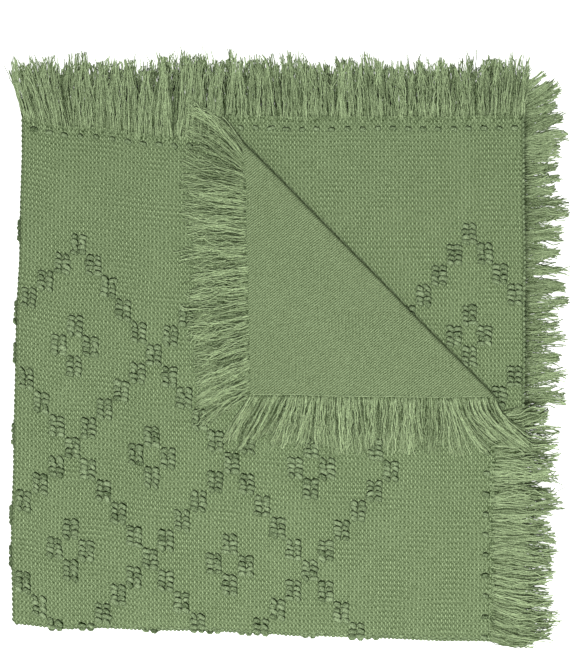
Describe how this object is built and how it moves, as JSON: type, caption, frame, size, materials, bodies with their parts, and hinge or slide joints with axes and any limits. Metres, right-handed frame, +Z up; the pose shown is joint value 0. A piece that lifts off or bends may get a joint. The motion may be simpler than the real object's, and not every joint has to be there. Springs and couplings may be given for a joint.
{
  "type": "fringed throw",
  "caption": "Green woven cotton throw with a raised diamond trellis and a fringe on every side, folded flat with one top corner turned back.",
  "frame": {"origin": "on the table, under the middle of the folded panel", "axes": "+X towards the fringed free side of the outer panel, +Y towards the fringed upper end, +Z up from the table"},
  "size_m": [0.6139, 0.6652, 0.0342],
  "materials": {
    "cotton_cloth": "matt loop-pattern weave",
    "fringe_yarn": "matt loose twisted yarn"
  },
  "bodies": {
    "root": {"throw_cloth": "cotton_cloth", "fringe_top": "fringe_yarn", "fringe_under": "fringe_yarn", "fringe_right": "fringe_yarn", "fringe_flap_left": "fringe_yarn", "fringe_flap_bottom": "fringe_yarn", "fringe_inner": "fringe_yarn"}
  },
  "joints": []
}
